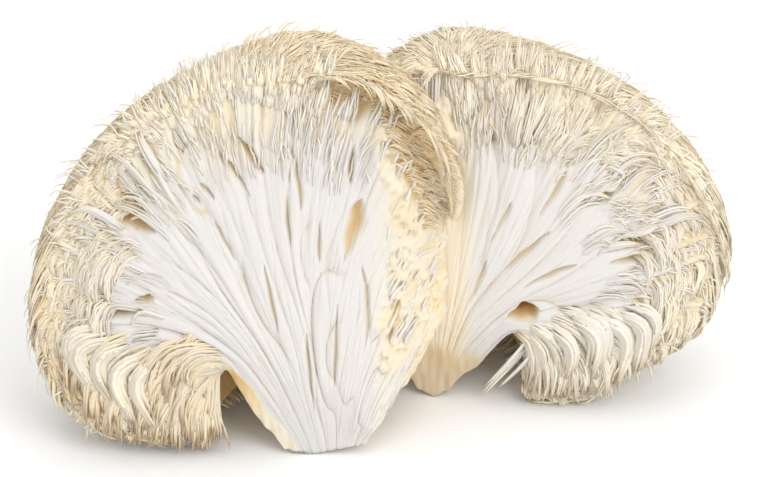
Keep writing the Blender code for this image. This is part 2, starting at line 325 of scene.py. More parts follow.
def closed_skin(name, surfaces):
    """One closed skin from several grids of points that share their edges. Each comes with its
    named values, which are arrays like the grid or one number. Its faces have four corners."""
    points, faces, first = [], [], 0
    attributes = {key: [] for key in surfaces[0][1]}
    for grid, values in surfaces:
        rows, columns = grid.shape[:2]
        n = first + np.arange(rows * columns).reshape(rows, columns)
        faces.append(np.stack([n[:-1, :-1], n[1:, :-1], n[1:, 1:], n[:-1, 1:]], -1).reshape(-1, 4))
        points.append(grid.reshape(-1, 3))
        first += rows * columns
        for key, value in values.items():
            attributes[key].append(np.broadcast_to(value, (rows, columns)).ravel())
    attributes = {key: np.concatenate(parts) for key, parts in attributes.items()}
    skin = mesh_of(name, np.concatenate(points), np.concatenate(faces), attributes)
    # The points that several surfaces share are joined, and every face is turned outwards.
    work = bmesh.new()
    work.from_mesh(skin.data)
    bmesh.ops.remove_doubles(work, verts=work.verts, dist=SHARED)
    bmesh.ops.recalc_face_normals(work, faces=work.faces)
    work.to_mesh(skin.data)
    work.free()
    skin.data.shade_smooth()
    return skin


def cap(ring):
    """A flat end inside a ring of points: every point is joined to the middle."""
    return np.stack([ring, np.broadcast_to(ring.mean(axis=0), ring.shape)])


INSET = 3.4 * MM  # the dome of flesh lies this far inside the tips of its spines
MATTED_INSET = 0.7 * MM  # but over the crown, where they are short and matted, only this far
SHARED = 0.002 * MM  # points of a skin that are nearer than this are one point
DOME_LENGTH = 175 * MM  # from the crown down to the fringe, about
DOME_WIDTH = 150 * MM  # and round the dome at its widest
# Levels of bundles, from coarse to fine: how many across the fan, and the tallest in millimetres.
LEFT.levels = ((11, 2.6), (29, 1.3), (76, 0.7), (190, 0.3))
RIGHT.levels = ((9, 2.2), (25, 1.2), (66, 0.6), (170, 0.3))
LEFT.openings = (  # u and z of the inner end, of the outer end, width, depth, in millimetres
    (46, 70.9, 62, 75.3, 3.4, 6), (47.4, 75.6, 56.4, 80.2, 2.9, 5), (59, 56.6, 71.5, 56, 4.2, 6),
    (58.6, 48.6, 73.5, 47.4, 3.4, 5), (48.7, 46.2, 64.5, 45.2, 2.8, 5),
    (47.7, 51.1, 54.2, 49.4, 2.2, 4), (38, 93, 41, 99, 2.0, 4), (46, 88, 49.5, 92, 2.4, 4),
    (15.3, 87, 22.6, 97.2, 2.0, 4), (19.2, 81, 28.5, 93.3, 1.5, 3), (29.3, 80.1, 33.5, 84.9, 1.3, 2.5),
    (33.5, 78.8, 36.5, 81, 1.2, 2), (46.9, 41.3, 54.7, 37, 1.9, 4), (63.3, 42.2, 71.9, 41.9, 2.6, 5),
    (67.7, 37.1, 70.2, 40.7, 1.9, 4), (50.5, 28.7, 54.3, 30.5, 2.6, 4), (58, 29.5, 61, 37.5, 2.2, 4),
    (24, 62, 30, 74, 1.2, 2), (8, 66, 9, 84, 1.2, 2), (0, 60, -1, 78, 1.2, 2), (12, 40, 16, 62, 1.2, 2),
    (-6.8, 60, -11.8, 79, 4.2, 4), (-20, 30, -23, 44, 1.8, 3), (-13, 32, -12, 58, 1.4, 2),
    (-4, 22, -5, 48, 1.2, 2), (2, 14, 4, 40, 1.1, 1.8), (5, 76, 8, 96, 1.4, 2.5),
    (-9, 84, -10, 96, 1.5, 3),
)
RIGHT.openings = (
    (40.7, 66, 52.1, 69.5, 2.0, 4), (49.1, 52.4, 67.8, 56.2, 2.4, 5), (50.9, 48.4, 67.6, 49.8, 1.8, 4),
    (39.4, 32.9, 43.8, 29.8, 2.2, 4), (51.8, 29.9, 58.6, 24.3, 2.4, 5), (59.3, 38.5, 70.5, 33, 3.4, 5),
    (23.7, 92, 28.5, 95, 2.6, 5), (24.9, 81.9, 28.7, 89.5, 1.3, 3), (14.4, 81.3, 16.6, 84.8, 2.1, 3),
    (34.1, 81.6, 36.6, 83.6, 1.8, 3), (7.8, 89.9, 8.9, 93.4, 1.5, 3), (36.5, 76.8, 40.4, 79, 1.3, 2),
    (21, 29.5, 31, 32.4, 4.2, 9), (14, 50, 22, 66, 1.3, 2), (20, 44, 34, 58, 1.5, 2.5),
    (26, 40, 42, 48, 1.4, 2.5), (10, 34, 15, 48, 1.3, 2), (30, 62, 38, 76, 1.4, 2.5),
    (4, 58, 5, 76, 1.4, 2),
)
LEFT.sponge = (-18, 26, 90)  # spongy nearer than this u and above this z, with so many pores
RIGHT.sponge = (4, 68, 40)
# The rind of the stem is in front outside this line: u at z 0, its slope, and how high it goes.
LEFT.rind_edge = (7.0, 0.60, 34)
RIGHT.rind_edge = (-30.0, 0.3, 19)
# The rind's own tan is painted deeper towards its top, where it runs up under the cap, and the right
# stem, which stands in shadow, is painted deeper at its foot and browned: painted shade.
LEFT.rind_tone, RIGHT.rind_tone = (0.15, 0.85), (0.34, 0.42)  # at its foot, and at its top
LEFT.rind_age, RIGHT.rind_age = 0.0, 0.3  # how far it is browned with painted shade, as the right stem stands in shadow
LEFT.foot_lift = (3.6, 0.25, 0.20)  # the stem's end is lowest at this u, and rises by these slopes
RIGHT.foot_lift = (-1.0, 0.50, 0.55)
LEFT.cream_edge, RIGHT.cream_edge = -12, 14  # the flesh is creamier nearer the other half than this u
LEFT.join_cream, RIGHT.join_cream = 0.45, 0.85  # and by these shares
LEFT.join_tone, RIGHT.join_tone = 0.0, 0.15  # and this much deeper in tone


def torn_face(half, rim, stem_rind):
    """The torn face: the fan of fibres, swollen forward in its middle, hollow under the rolled
    edge of the dome, with its bundles, crevices and pores. It returns the smooth fan, the
    finished face, how deep in tone each point is, mostly painted shade in its grooves, crevices,
    pores and hollow, how creamy it is and how far its rind is browned with painted shade, all
    from 0 to 1."""
    t = np.linspace(0.0, 1.0, COLUMNS)
    stem = mix(stem_rind[0, 0], stem_rind[0, -1], t[:, None])
    smooth_fan = fan(stem_rind[:, 0], stem_rind[:, -1], stem, rim)
    s, t = np.broadcast_arrays(np.linspace(0.0, 1.0, ROWS)[:, None], t)
    middle = half.swell * MM * np.sqrt(np.clip(np.sin(np.pi * s) * np.sin(np.pi * t), 0, 1))
    smooth_fan[..., 1] -= middle * smooth(s, 0.0, 0.3) * fades(s, 0.85, 1.0)
    spacing = np.linalg.norm(np.gradient(smooth_fan, axis=1), axis=-1) * (COLUMNS - 1)
    half.spacing = spacing[..., None]
    u, z = smooth_fan[..., 0], smooth_fan[..., 2]

    # Where the face is hollow, spongy, covered by the rind of the stem, or joined to the other half.
    ragged = 0.012 * drift(0 * t, t, 1.0, 160.0, half.seed + 5) + 0.05 * smooth(t, 0.60, 0.66)
    hollow = smooth(s + ragged, 0.92, 0.955) * fades(s, 0.975, 1.0)
    hollow = hollow * smooth(t, 0.50, 0.54) * fades(t, 0.68, 0.76)
    edge_u, edge_z, pore_count = half.sponge
    torn_u = u - 3 * MM * drift(u, z, 160.0, 160.0, half.seed + 6)
    torn_z = z + 4 * MM * drift(u, z, 120.0, 120.0, half.seed + 7)
    sponge = fades(torn_u, (edge_u - 4) * MM, (edge_u + 2) * MM)
    sponge = sponge * smooth(torn_z, edge_z * MM, (edge_z + 12) * MM)
    start, slope, rind_top = half.rind_edge
    rind_u = u - start * MM - slope * z + 1.0 * MM * drift(z, u, 300.0, 100.0, half.seed + 8)
    rind_z = z + 2.5 * MM * drift(u, z, 250.0, 100.0, half.seed + 13)
    rind_share = smooth(rind_u, -0.4 * MM, 1.2 * MM)
    rind_share = rind_share * fades(rind_z, (rind_top - 6) * MM, (rind_top + 3) * MM)
    rind_share = rind_share * fades(u, 25 * MM, 30 * MM)
    joined = fades(u, (half.cream_edge - 8) * MM, half.cream_edge * MM)

    # Bundles, crevices, pores, lumps, and streaks where the fibres turn into spines.
    relief = (1.0 - rind_share) * (1.0 - 0.8 * sponge) * (1.0 - 0.5 * hollow)
    face = smooth_fan.copy()
    deep = np.zeros_like(s)
    for k, (count, tallest) in enumerate(half.levels):
        height, groove = bundles(s, t, spacing, count, tallest * MM, half.seed + 10 * k)
        face[..., 1] -= height * relief
        weight = LEVEL_TONES[k] * mix(1.0, 1.4, smooth(s, 0.70, 0.90))
        deep = np.maximum(deep, groove * weight * relief)
    cut = crevices(u, z, half.openings, half.seed + 9) * smooth(z, 4 * MM, 12 * MM)
    half.cut = cut[..., None]
    pits = pores(u, z, sponge**2 + 1e-9, pore_count, PORE_SIZES, half.seed + 11)
    lumps = 0.6 * MM * drift(u, z, 900.0, 900.0, half.seed + 12, 24) * sponge
    lumps = lumps + 0.14 * MM * drift(u, z, 1200.0, 250.0, half.seed + 14, 16) * rind_share
    outer = smooth(s, 0.74, 0.90) * (1.0 - rind_share) * (1.0 - sponge)
    streaks = drift(s, t, 9.0, 520.0, half.seed + 17, 24) * outer
    lumps = lumps - 0.45 * MM * streaks
    face[..., 1] += cut + pits + lumps + half.hollow * MM * hollow

    # Painted shade: the bottoms of crevices and pores, the hollow under the rolled edge, and the flesh
    # in the shade of the rim's spines are painted deeper in tone, tan and orange, and creamier near the
    # rim.
    bottom = 0.66 * np.clip(cut / (3.5 * MM), 0.0, 1.0) + 0.3 * smooth(cut, 5 * MM, 8 * MM)
    rim_tone = mix(0.42, 0.17, smooth(t, 0.22, 0.40))
    sponge_tone = 0.17 + 0.06 * drift(u, z, 260.0, 200.0, half.seed + 18)
    deep = np.maximum.reduce([
        deep, bottom, np.clip(pits / (2.2 * MM), 0.0, 0.7),
        rim_tone * smooth(s, 0.80, 0.97) - 0.12 * streaks,
        0.72 * hollow * min(half.hollow / 5.0, 1.0), half.join_tone * joined, sponge_tone * sponge,
    ])
    cream = [sponge, hollow, smooth(s, 0.84, 1.0), rind_share, half.join_cream * joined]
    cream = np.maximum.reduce(cream)
    # Painted shade: the rind is painted deeper towards its top, under the cap.
    rind_tone = mix(*half.rind_tone, smooth(z, 10 * MM, 30 * MM))
    rind_tone = rind_tone + 0.06 * drift(u, z, 500.0, 120.0, half.seed + 15)
    return smooth_fan, face, mix(deep, rind_tone, rind_share), cream, half.rind_age * rind_share


def rounded_foot(half, points):
    """The stem's cut end isn't quite level: beside its lowest point it curves up a little."""
    lowest, far_slope, near_slope = half.foot_lift
    aside = points[..., 0] - lowest * MM
    lift = np.maximum(far_slope * aside, -near_slope * aside)
    low = fades(points[..., 2], 0.0, 12 * MM)
    lifted = points.copy()
    lifted[..., 2] += lift * low * fades(np.abs(aside), 20 * MM, 30 * MM)
    return lifted


def matted(turn, share):
    """1 where the coat is short and matted, over the crown and the near side, and 0 elsewhere."""
    near = smooth(turn, 0.5 * np.pi, 0.8 * np.pi)
    return fades(share, mix(0.35, 0.5, near), mix(0.6, 0.8, near))


def flesh_of(half):
    """The closed skin of one half, from its four surfaces, which share their edges."""
    turn = np.linspace(0.0, np.pi, ROUND_BACK)[None, :]
    share = np.linspace(0.0, 1.0, (COLUMNS + 1) // 2)[:, None]
    torn = smooth(turn, 0.72 * np.pi, 0.95 * np.pi) * smooth(share, 0.25, 0.6)
    inset = mix(INSET, MATTED_INSET, np.maximum(torn, matted(turn, share)))[..., None]
    outer = dome(half, turn, share) - inset * dome_out(half, turn, share)
    outer[0] = outer[0].mean(axis=0)
    rim = np.concatenate([outer[::-1, 0], outer[1:, -1]])
    under = rind(half, outer[-1])
    half.fan, face, deep, cream, browned = torn_face(half, rim, under)
    half.face = face
    middle = len(outer) - 1
    outer[::-1, 0] = face[-1, : middle + 1]
    outer[1:, -1] = face[-1, middle + 1 :]
    under[:, 0], under[:, -1] = face[:, 0], face[:, -1]
    foot = cap(np.concatenate([face[0], under[0][-2::-1]]))
    up = np.linspace(0, 1, ROWS)[:, None]
    surfaces = []
    for grid, depth, creamy, age in (
        (face, deep, cream, browned),
        # Painted shade: the dome under the spines is painted tan, deeper where the coat is long, as the
        # shade between the spines.
        (outer, mix(0.38, 0.22, matted(turn, share)), 1.0, 0.0),
        # Painted shade: the rind is painted deeper as it runs up into the groove under the cap, and on
        # the right stem the rind and the cut end are browned with painted shade.
        (under, mix(0.25, 0.75, smooth(up, 0.25, 0.8)), 1.0, half.rind_age),
        (foot, 0.3, 0.3, half.rind_age),
    ):
        grain = np.linspace(0.0, 1.0, grid.shape[1]) * DOME_WIDTH / MM
        values = {"depth": depth, "cream": creamy, "age": age, "grain": grain}
        surfaces.append((in_place(half, rounded_foot(half, grid)), values))
    return closed_skin(half.name + "_flesh", surfaces)


def node(tree, kind, inputs=None, **settings):
    """A new shader node with the given settings. Each of its inputs is given as a value, or as
    the output of another node."""
    made = tree.nodes.new(kind)
    for key, value in settings.items():
        setattr(made, key, value)
    for key, value in (inputs or {}).items():
        if isinstance(value, bpy.types.NodeSocket):
            tree.links.new(value, made.inputs[key])
        else:
            made.inputs[key].default_value = value
    return made


def node_group(name, inputs, output, kind):
    """An empty node group with named numbers as its inputs, and one named output."""
    group = bpy.data.node_groups.new(name, "ShaderNodeTree")
    for key, value in inputs.items():
        made = group.interface.new_socket(key, in_out="INPUT", socket_type="NodeSocketFloat")
        made.default_value = value
    group.interface.new_socket(output, in_out="OUTPUT", socket_type=kind)
    return group, node(group, "NodeGroupInput").outputs


def ramp(tree, share, stops):
    """The colour that a ramp with the given places and colours has at a share."""
    made = node(tree, "ShaderNodeValToRGB", {"Fac": share})
    elements = made.color_ramp.elements
    while len(elements) < len(stops):
        elements.new(0.5)
    for element, (place, colour) in zip(elements, stops):
        element.position = place
        element.color = (*colour, 1.0)
    return made.outputs["Color"]


FLESH_TONES = (  # white flesh, cream, and the tan and orange that are painted shade at the bottoms of crevices
    (0.0, (0.86, 0.83, 0.80)), (0.22, (0.86, 0.80, 0.71)), (0.45, (0.87, 0.74, 0.52)),
    (0.7, (0.84, 0.60, 0.31)), (1.0, (0.62, 0.34, 0.11)),
)
SPINE_TONES = (  # cream tips, yellower and tan towards the roots, where the tan is painted shade
    (0.0, (0.98, 0.91, 0.76)), (0.3, (0.98, 0.84, 0.60)), (0.6, (0.95, 0.70, 0.37)),
    (1.0, (0.64, 0.35, 0.12)),
)
# Brown for real browning of the tips, and for painted shade on the right stem, which stands in shadow,
# and at the bottom of the fringe.
AGED_BROWN = (0.40, 0.22, 0.085, 1.0)


def mushroom_tones():
    """The mushroom's colours as a node group. Depth goes through a ramp of tones, unevenly, and its
    deeper tones carry painted shade. Cream blends from the flesh's tones to those of the spines,
    the browning input browns, for real browning and for painted shade, and Tint sets one strand
    off from the next."""
    inputs = {"Depth": 0.0, "Cream": 0.0, "Age": 0.0, "Tint": 0.5}
    group, given = node_group("flesh_tones", inputs, "Color", "NodeSocketColor")
    where = node(group, "ShaderNodeTexCoord").outputs["Object"]
    mottle = node(group, "ShaderNodeTexNoise", {"Vector": where, "Scale": 90.0, "Detail": 3.0})
    uneven = {0: mottle.outputs["Fac"], 1: 0.16, 2: -0.08}
    uneven = node(group, "ShaderNodeMath", uneven, operation="MULTIPLY_ADD")
    deeper = node(group, "ShaderNodeMath", {0: given["Depth"], 1: uneven.outputs[0]}).outputs[0]
    flesh, spine = ramp(group, deeper, FLESH_TONES), ramp(group, deeper, SPINE_TONES)
    creamed = {"Factor": given["Cream"], "A": flesh, "B": spine}
    creamed = node(group, "ShaderNodeMix", creamed, data_type="RGBA").outputs["Result"]
    aged = {"Factor": given["Age"], "A": creamed, "B": AGED_BROWN}
    aged = node(group, "ShaderNodeMix", aged, data_type="RGBA").outputs["Result"]
    shade = node(group, "ShaderNodeMapRange", {"Value": given["Tint"], "To Min": 0.9, "To Max": 1.06})
    tinted = {"Factor": 1.0, "A": aged, "B": shade.outputs["Result"]}
    tinted = node(group, "ShaderNodeMix", tinted, data_type="RGBA", blend_type="MULTIPLY")
    node(group, "NodeGroupOutput", {"Color": tinted.outputs["Result"]})
    return group


def fibre_bump():
    """Fine fibres as a node group. Grain runs across them, in millimetres."""
    group, given = node_group("fibre_bump", {"Grain": 0.0}, "Normal", "NodeSocketVector")
    where = node(group, "ShaderNodeTexCoord").outputs["Object"]
    split = node(group, "ShaderNodeSeparateXYZ", {"Vector": where})
    along = node(group, "ShaderNodeMath", {0: split.outputs["Z"], 1: 60.0}, operation="MULTIPLY")
    place = node(group, "ShaderNodeCombineXYZ", {"X": given["Grain"], "Y": along.outputs[0]})
    fibres = {"Vector": place.outputs["Vector"], "Scale": 2.2, "Detail": 4.0}
    fibres = node(group, "ShaderNodeTexNoise", fibres).outputs["Fac"]
    bump = node(group, "ShaderNodeBump", {"Height": fibres, "Strength": 0.5, "Distance": 0.4 * MM})
    node(group, "NodeGroupOutput", {"Normal": bump.outputs["Normal"]})
    return group


def mushroom_material(name, soft, fuzz=0.0):
    """A matt, slightly see-into material whose colour follows the piece's own values of tone,
    cream, browning and tint, which carry painted shade as well as its own colours. Soft is how
    far light goes into it, and fuzz the sheen of its fine hairs."""
    material = bpy.data.materials.new(name)
    material.use_nodes = True
    tree = material.node_tree
    shader = tree.nodes["Principled BSDF"]
    values = {
        key.title(): node(tree, "ShaderNodeAttribute", attribute_name=key).outputs["Fac"]
        for key in ("depth", "cream", "age", "tint")
    }
    colour = node(tree, "ShaderNodeGroup", values, node_tree=tones)
    tree.links.new(colour.outputs["Color"], shader.inputs["Base Color"])
    for key, value in {
        "Roughness": 0.7, "Specular IOR Level": 0.2, "Sheen Weight": fuzz, "Sheen Roughness": 0.5,
        "Sheen Tint": (1.0, 0.93, 0.82, 1.0), "Subsurface Weight": soft,
        "Subsurface Radius": (1.0, 0.8, 0.55), "Subsurface Scale": 1.6 * MM,
    }.items():
        shader.inputs[key].default_value = value
    return material


tones = mushroom_tones()
flesh = mushroom_material("white_flesh", 0.35)
tree = flesh.node_tree
grain = node(tree, "ShaderNodeAttribute", attribute_name="grain").outputs["Fac"]
fibres = node(tree, "ShaderNodeGroup", {"Grain": grain}, node_tree=fibre_bump())
tree.links.new(fibres.outputs["Normal"], tree.nodes["Principled BSDF"].inputs["Normal"])
for half in (LEFT, RIGHT):
    skin = flesh_of(half)
    skin.data.materials.append(flesh)
    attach(skin, "root")
    if half is LEFT:
        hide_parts("fruiting_body")

# ---- Spines ---------------------------------------------------------------------------------
# The coat of soft spines that the mushroom is named for: each is a millimetre thick and one to
# three centimetres long, grows from the flesh and hangs towards the ground, in locks.

COAT_STEPS = 4  # straight pieces along a spine of the coat, each from a ring to the next
SIDES = 3  # corners of a ring
FLATTENED = 0.7  # a spine's thickness, as a share of its width
TAPER = 0.75  # it loses this share of its width before its tip
UNDERSIDE = 0.18  # how much deeper in tone its underside is painted, as painted shade
coat_material = mushroom_material("cream_spines", 0.0, 0.6)


def spines(name, paths, facing, thick, values, root=0.9):
    """Tapered spines as one mesh. Each path is a row of points from root to tip, facing is the
    direction that its flat side looks, thick its greatest width in metres, and root the share
    of it that the spine has where it starts. The values are functions of the share v of the way
    along a spine and of its number i."""
    count, steps = paths.shape[:2]
    way = unit(np.gradient(paths, axis=1), 1e-12)
    sideways = unit(np.cross(facing, way), 1e-12)
    upwards = np.cross(way, sideways)
    v = np.linspace(0.0, 1.0, steps)[:-1]
    radius = thick[:, None] / 2 * (1.0 - TAPER * v**2.2) * mix(root, 1.0, smooth(v, 0.0, 0.35))
    a = (np.arange(SIDES) * 2 * np.pi / SIDES + np.pi / 6)[:, None]
    ring = np.cos(a) * sideways[:, :-1, None] + FLATTENED * np.sin(a) * upwards[:, :-1, None]
    body = paths[:, :-1, None] + radius[..., None, None] * ring
    points = np.concatenate([body.reshape(count, -1, 3), paths[:, -1:]], 1)
    per = points.shape[1]
    k, j = np.meshgrid(np.arange(steps - 2), np.arange(SIDES), indexing="ij")
    here, beside = k * SIDES + j, k * SIDES + (j + 1) % SIDES
    walls = np.concatenate([
        np.stack([here, beside, beside + SIDES], -1).reshape(-1, 3),
        np.stack([here, beside + SIDES, here + SIDES], -1).reshape(-1, 3),
    ])
    last = (steps - 2) * SIDES + np.arange(SIDES)
    tip = np.stack([last, np.roll(last, -1), np.full(SIDES, per - 1)], -1)
    end = np.arange(SIDES)[None, ::-1]
    one = np.concatenate([walls, tip, end])
    faces = (one[None] + per * np.arange(count)[:, None, None]).reshape(-1, 3)
    at = np.append(np.repeat(v, SIDES), 1.0)
    numbers = np.arange(count)[:, None]
    attributes = {key: value(at[None, :], numbers) for key, value in values.items()}
    # Painted shade: the side that is turned away from the light, seen in the gaps, is painted deeper
    # and tan.
    away = np.append(np.tile([0.0, 0.0, 1.0], steps - 1), 0.3)
    attributes["depth"] = attributes["depth"] + UNDERSIDE * away
    attributes["cream"] = mix(attributes["cream"], 1.0, 0.8 * away)
    shape = (count, per)
    attributes = {key: np.broadcast_to(value, shape).ravel() for key, value in attributes.items()}
    made = mesh_of(name, points.reshape(-1, 3), faces, attributes)
    made.data.materials.append(coat_material)
    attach(made, "root")


def above_ground(paths, low, high, rng):
    """Keeps each path above the ground, by a height between low and high, in millimetres."""
    lowest = rng.uniform(low, high, len(paths)) * MM
    paths[..., 2] = np.maximum(paths[..., 2], lowest[:, None])


def clumped(paths, places, per_lock, pull, alike, rng):
    """Locks: each path takes on the share alike of the shape of one of its neighbours, the same
    for all of a lock, and closes in on it towards its tip. The places are where the paths start,
    in metres over the surface."""
    leads = rng.choice(len(paths), len(paths) // per_lock, replace=False)
    gaps = ((places[:, None] - places[None, leads]) ** 2).sum(-1)
    lead = leads[gaps.argmin(1)]
    v = np.linspace(0.0, 1.0, paths.shape[1])[None, :, None]
    closing = (pull * rng.uniform(0.4, 1.0, len(paths)))[:, None, None] * v**1.4
    beside = paths[lead] + (paths[:, :1] - paths[lead, :1]) * (1.0 - closing)
    return mix(paths, beside, alike)


LEFT.parting, RIGHT.parting = 0.11, -0.05  # where the coat parts: this share from the crown
LEFT.forward, RIGHT.forward = 0.5, 0.35  # how much it is combed forward over the rim
LEFT.forward_to, RIGHT.forward_to = -0.04, 0.45  # and how far towards the far side
LEFT.matted_tone, RIGHT.matted_tone = 0.20, 0.08  # the tone of its matted part
LEFT.root_tone, RIGHT.root_tone = 0.34, 0.22  # and of every root, painted deeper as the shade between the spines


def hanging(half, turn, share, length, lift, sway, sunk):
    """Paths of spines that run down over the dome from the coat's parting, which lies beside the
    crown. Each starts under the dome's surface and rises to its own lift above it. They are
    followed on a flat map of the dome, with the crown in its middle."""
    a, b = share * np.cos(turn), share * np.sin(turn)
    path = [(a, b)]
    for k in range(COAT_STEPS):
        reach = np.hypot(a, b)
        out_a = a - half.parting * fades(reach, 0.2, 0.7)
        ahead = fades(a, half.forward_to - 0.06, half.forward_to + 0.06) * fades(b, 0.05, 0.35)
        out_b = b - half.forward * reach * ahead
        away = np.hypot(out_a, out_b) + 0.02
        c, d = np.cos(sway * k / COAT_STEPS), np.sin(sway * k / COAT_STEPS)
        step = length / COAT_STEPS / DOME_LENGTH / away
        a, b = a + step * (c * out_a - d * out_b), b + step * (d * out_a + c * out_b)
        path.append((a, b))
    a, b = np.array(path).transpose(1, 2, 0)
    turns, shares = np.arctan2(b, a), np.hypot(a, b)
    turns = np.where(turns < -0.5 * np.pi, turns + 2 * np.pi, turns)
    rise = mix(-sunk[:, None], lift[:, None], smooth(np.linspace(0.0, 1.0, COAT_STEPS + 1), -0.1, 0.8))
    out = dome_out(half, turns, shares)
    return dome(half, turns, shares) + rise[..., None] * out, out


COAT_PER_LOCK = 8  # spines in a lock of the coat


def coat(kind, half, turn, share, length, lift, thick, pull, sunk, stray, seed):
    """Spines that hang over the dome, combed into locks that close in by the share pull, and from
    which they stray. They start at the depth sunk and rise by lift."""
    rng = np.random.default_rng(half.seed + seed)
    count = len(turn)
    sway = 0.5 * drift(turn, share, 6.0, 9.0, half.seed + 60) + stray * rng.normal(0, 1, count)
    paths, out = hanging(half, turn, share, length, lift, sway, sunk + 0.0 * length)
    places = np.stack([turn / np.pi * DOME_WIDTH * smooth(share, -0.1, 0.7), share * DOME_LENGTH], -1)
    paths = in_place(half, clumped(paths, places, COAT_PER_LOCK, pull, 0.7, rng))
    facing = in_place(half, out) - in_place(half, 0 * out)
    above_ground(paths, 0.8, 3.2, rng)
    tint = rng.random(count)
    # Painted shade: lower down, towards the fringe, they are painted deeper and browner at the tips.
    low = smooth(share, 0.6, 1.0)
    lower = 0.08 * low
    # Painted shade: the roots are painted deeper, tan, as the shade between the spines.
    root_tone = half.root_tone + 0.12 * drift(turn, share, 14.0, 20.0, half.seed + 61)
    tip_tone = mix(0.06, half.matted_tone, matted(turn, share))
    spines(half.name + kind, paths, facing, thick, {
        "depth": lambda v, i: mix(root_tone[i], tip_tone[i], smooth(v, 0.0, 0.5)) + 0.1 * v + lower[i],
        "cream": lambda v, i: 1.0,
        "age": lambda v, i: 0.6 * smooth(v, 0.7, 1.0) * low[i] + 0.06 * smooth(v, 0.7, 1.0),
        "tint": lambda v, i: tint[i],
    })


LEFT.coat_count, RIGHT.coat_count = 4700, 4150
LEFT.crown_count, RIGHT.crown_count = 4600, 3700
LEFT.crown_length, RIGHT.crown_length = (7, 13), (7, 19)  # in millimetres
FLYAWAYS = 420
for half in (LEFT, RIGHT):
    rng = np.random.default_rng(half.seed)
    count = half.coat_count
    # More spines where the dome is wide: near the fringe the rings are longer than at the crown.
    share = mix(0.12, 0.96, rng.random(count) ** 0.8)
    turn = rng.random(count) ** 1.12 * np.pi
    joined = (turn > 0.86 * np.pi) & (share > 0.5)  # here the halves hang together, without spines
    turn = np.where(joined, turn - 0.4 * np.pi, turn)
    share = mix(share, mix(0.3, 0.96, share), fades(turn, 0.3 * np.pi, 0.5 * np.pi))
    uneven = drift(turn, share, 9.0, 14.0, half.seed + 50)
    length = (15 + 3 * rng.normal(0, 1, count) + 3 * uneven) * MM
    length = np.minimum(np.maximum(length, 6 * MM), (1.03 - share) * DOME_LENGTH)
    lift = (0.3 + 0.35 * np.abs(rng.normal(0, 1, count)) + 0.4 * uneven) * MM
    flat = matted(turn, share)
    lift = mix(lift, (0.4 + 0.2 * rng.normal(0, 1, count)) * MM, flat)
    thick = mix(1.0, 0.6, flat) * rng.uniform(1.3, 2.0, count) * MM
    sunk = mix(INSET, 1.5 * MATTED_INSET, flat)
    coat("_coat", half, turn, share, length, lift, thick, 0.6, sunk, 0.2, 1)

    # Over the crown, and on the rolled flap above the tear, the coat is fine and matted.
    count = half.crown_count
    share = rng.random(count) ** 0.6 * 0.38
    turn = rng.random(count) * np.pi
    share = share * mix(1.0, 1.5, smooth(turn, 0.5 * np.pi, 0.8 * np.pi))
    length = rng.uniform(*half.crown_length, count) * MM
    lift = (0.15 + 0.2 * rng.normal(0, 1, count)) * MM
    thick = rng.uniform(0.45, 0.8, count) * MM
    coat("_crown", half, turn, share, length, lift, thick, 0.5, 0.8 * MM, 0.15, 2)

    # A few thin hairs stand off the coat.
    share = rng.uniform(0.02, 0.9, FLYAWAYS)
    turn = rng.uniform(0.0, 0.85, FLYAWAYS) * np.pi
    length = rng.uniform(5, 10, FLYAWAYS) * MM
    lift = rng.uniform(1.2, 4.0, FLYAWAYS) * MM
    thick = rng.uniform(0.4, 0.7, FLYAWAYS) * MM
    coat("_flyaways", half, turn, share, length, lift, thick, 0.0, 1.0 * MM, 0.8, 3)

# ---- Torn rims ------------------------------------------------------------------------------
# Where the tear has cut through the coat, the fibres of the flesh are seen to run on into the
# spines: they leave the torn face, bend towards the ground and end at the outline of the cap.

RIM_LENGTH = 310 * MM  # round the torn face, from the fringe over the crown to the near side
GROUND = np.array([0.0, 0.0, -1.0])  # the way to the ground
DEPTH = np.array([0.0, 1.0, 0.0])  # the way into the depth behind the torn face
FRONT = np.array([0.0, -1.0, 0.3])  # the way that the flat side of the face's spines looks
PER_LOCK = 5  # spines in a lock


def combed(half, s, t, length, fall, rise, back, curl, rng, steps, towards, bend):
    """Paths that leave the torn face at the shares s and t. Each sets out along the fibre and
    turns towards the ground or another direction, by the share fall, between the two shares
    of its length in bend. It rises in front of the face, and ends behind it by the length
    back. Curl makes it snake about."""
    v = np.linspace(0.0, 1.0, steps + 1)[None, :, None]
    root = sampled(half.face, s, t)
    ahead = unit(sampled(half.fan, s, t) - sampled(half.fan, s - 0.05, t))
    turned = np.minimum(fall[:, None, None] * smooth(v, *bend), 1.0)
    way = mix(ahead[:, None], towards, turned)
    aside = np.cross(ahead, DEPTH)[:, None]
    phase = rng.uniform(0.0, 2 * np.pi, len(s))[:, None, None]
    way = unit(way + curl[:, None, None] * v * np.sin(phase + 4.5 * v) * aside)
    moves = mix(way[:, :-1], way[:, 1:], 0.5) * (length / steps)[:, None, None]
    path = np.concatenate([root[:, None], root[:, None] + moves.cumsum(axis=1)], 1)
    path[..., 1] += 0.5 * MM - (rise[:, None] + 0.5 * MM) * np.sin(np.pi * v[..., 0] ** 0.8)
    path[..., 1] += back[:, None] * v[..., 0] ** 2
    return path


